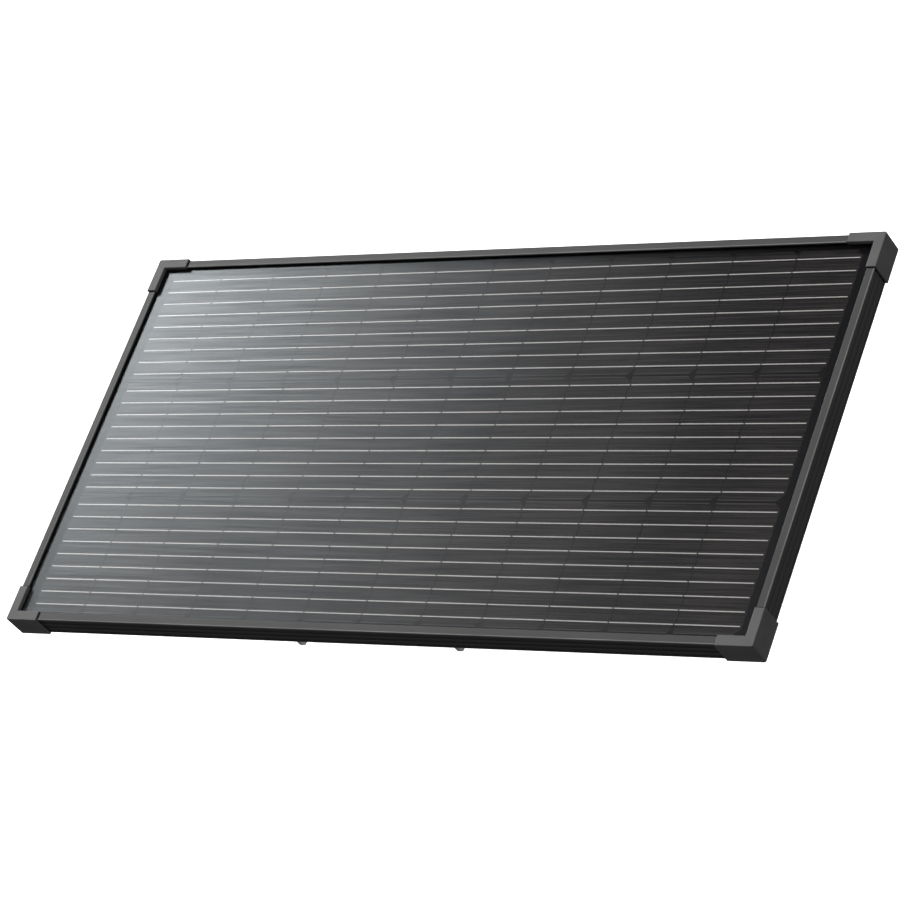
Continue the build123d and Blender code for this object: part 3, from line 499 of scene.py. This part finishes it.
FINISHES = {
    "frame_rail_top": LONG_RAIL,
    "frame_rail_bottom": LONG_RAIL,
    "frame_rail": SHORT_RAIL,
    "corner_cap_screws": BLACK_STEEL,
    "corner_cap": CAP,
    "leg_clip": CAP,
    "corner_key": MILL_ALUMINIUM,
    "glass_cover": cover_glass(),
    "front_encapsulant": clear_encapsulant(),
    "rear_encapsulant": margin_film(),
    "cells_string_1": silicon_cell(1),
    "cells_string_2": silicon_cell(2),
    "cells_string_3": silicon_cell(3),
    "wires_string": WIRE,
    "bus_ribbons": RIBBON,
    "lead_ribbons": RIBBON,
    "bus_mask_strips": MASK,
    "backsheet": BACKSHEET,
    "edge_sealant": SILICONE,
    "junction_box_pad": SILICONE,
    "rating_label": label_film(),
    "junction_box_gasket": RUBBER,
    "gland_seal": RUBBER,
    "junction_box_lid_screws": STAINLESS,
    "junction_box": BOX,
    "cable_gland": BOX,
    "gland_nut": BOX,
    "terminals": BRASS,
    "bypass_diodes": EPOXY,
    "stand_leg": LEG_ALUMINIUM,
    "stand_cross_tube": TUBE_ALUMINIUM,
    "pivot_bush": NYLON,
    "cross_tube_plugs": NYLON,
    "pivot": STAINLESS,
    "bracket_": STAINLESS,
    "clip_": STAINLESS,
    "cross_tube_screws": STAINLESS,
    "stand_bracket": BRACKET_STEEL,
}

for name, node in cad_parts.items():
    key = max((key for key in FINISHES if name.startswith(key)), key=len)
    node.data.materials.clear()
    node.data.materials.append(FINISHES[key])

# ---------------------------------------------------------------- studio

world = bpy.data.worlds.new("studio")
bpy.context.scene.world = world
world.use_nodes = True
sky = world.node_tree
sky.nodes.clear()
heading = add(sky, "TexCoord").outputs["Generated"]
compass = add(sky, "SeparateXYZ", {0: heading})
# the lit sky: a bright band at the horizon that fades upwards, and leans towards +X and +Y
horizon = remap(sky, compass.outputs["Z"], 0.10, 0.45, 0.50, 0.02, smooth=True)
lean_x = remap(sky, compass.outputs["X"], -1.0, 1.0, -0.3, 0.4)
lean_y = remap(sky, compass.outputs["Y"], -1.0, 1.0, 0.65, 1.3)
glow = calc(sky, "MULTIPLY", horizon, calc(sky, "ADD", lean_x, lean_y))
backdrop = add(sky, "Background", {"Color": WHITE, "Strength": 1.0})
light = add(sky, "Background", {"Color": WHITE, "Strength": glow})
seen = add(sky, "LightPath").outputs["Is Camera Ray"]
mixed = add(sky, "MixShader", {0: seen, 1: light.outputs[0], 2: backdrop.outputs[0]})
add(sky, "OutputWorld", {"Surface": mixed.outputs[0]})


def softbox(name, position, aim, size, power):
    """A square area light at a position, turned to face the aim."""
    data = bpy.data.lights.new(name, "AREA")
    data.shape = "SQUARE"
    data.size = size
    data.energy = power
    lamp = bpy.data.objects.new(name, data)
    bpy.context.scene.collection.objects.link(lamp)
    lamp.location = position
    lamp.rotation_mode = "QUATERNION"
    lamp.rotation_quaternion = (Vector(aim) - Vector(position)).to_track_quat("-Z", "Y")


def distant_lamp(name, azimuth, elevation, strength, width, colour):
    """A distant round lamp; azimuth (from +Y towards -X), elevation and width are in degrees."""
    a, e = math.radians(azimuth), math.radians(elevation)
    aim = Vector((-math.sin(a) * math.cos(e), math.cos(a) * math.cos(e), math.sin(e)))
    data = bpy.data.lights.new(name, "SUN")
    data.energy = strength
    data.angle = math.radians(width)
    data.color = colour
    lamp = bpy.data.objects.new(name, data)
    bpy.context.scene.collection.objects.link(lamp)
    lamp.location = aim * LAMP_STAND_IN
    lamp.rotation_mode = "QUATERNION"
    lamp.rotation_quaternion = (-aim).to_track_quat("-Z", "Y")


distant_lamp("low_key", azimuth=56.1, elevation=22.7, strength=5.6, width=10.0, colour=(1.0, 1.0, 0.99))
distant_lamp("side_fill", azimuth=72.0, elevation=52.0, strength=0.27, width=10.0, colour=(1.0, 0.99, 0.98))
softbox("overhead_softbox", position=(0.6, -0.1, 2.8), aim=(0.0, 0.0, 0.0), size=1.3, power=58.0)

floor_mesh = bpy.data.meshes.new("studio_floor")
corner_signs = ((-1, -1), (1, -1), (1, 1), (-1, 1))
floor_corners = [(sx * FLOOR_HALF, sy * FLOOR_HALF, FLOOR_Z) for sx, sy in corner_signs]
floor_mesh.from_pydata(floor_corners, [], [(0, 1, 2, 3)])
floor = bpy.data.objects.new("studio_floor", floor_mesh)
bpy.context.scene.collection.objects.link(floor)
floor.visible_diffuse = False
floor.visible_glossy = False

# white from above and clear from below, so that views from under the panel see it
floor_paint, tree = new_material("floor_paint")
rolled = noise(tree, place(tree), (3, 3, 3), detail=3.0)
paint = tint(tree, levels(tree, rolled), (0.80, 0.80, 0.80), (0.84, 0.84, 0.84))
surface = add(
    tree, "BsdfPrincipled",
    {"Base Color": paint, "Roughness": 0.9, "Emission Color": WHITE, "Emission Strength": 0.8},
)
below = add(tree, "BsdfTransparent")
one_sided = add(
    tree, "MixShader",
    {0: add(tree, "NewGeometry").outputs["Backfacing"], 1: surface.outputs[0], 2: below.outputs[0]},
)
finish_with(tree, one_sided.outputs[0])
floor_mesh.materials.append(floor_paint)

# ---------------------------------------------------------------- camera

forward = (CAMERA_AIM - CAMERA_AT).normalized()
level = forward.cross(Vector((0, 0, 1))).normalized()
down = forward.cross(level)
right = math.cos(CAMERA_ROLL) * level + math.sin(CAMERA_ROLL) * down
up = math.sin(CAMERA_ROLL) * level - math.cos(CAMERA_ROLL) * down
camera_data = bpy.data.cameras.new("studio_camera")
camera_data.sensor_width = CAMERA_SENSOR
camera_data.lens = CAMERA_LENS
camera = bpy.data.objects.new("studio_camera", camera_data)
bpy.context.scene.collection.objects.link(camera)
camera.matrix_world = Matrix.Translation(CAMERA_AT) @ Matrix((right, up, -forward)).transposed().to_4x4()
bpy.context.scene.camera = camera
bpy.context.scene.view_settings.view_transform = "Standard"
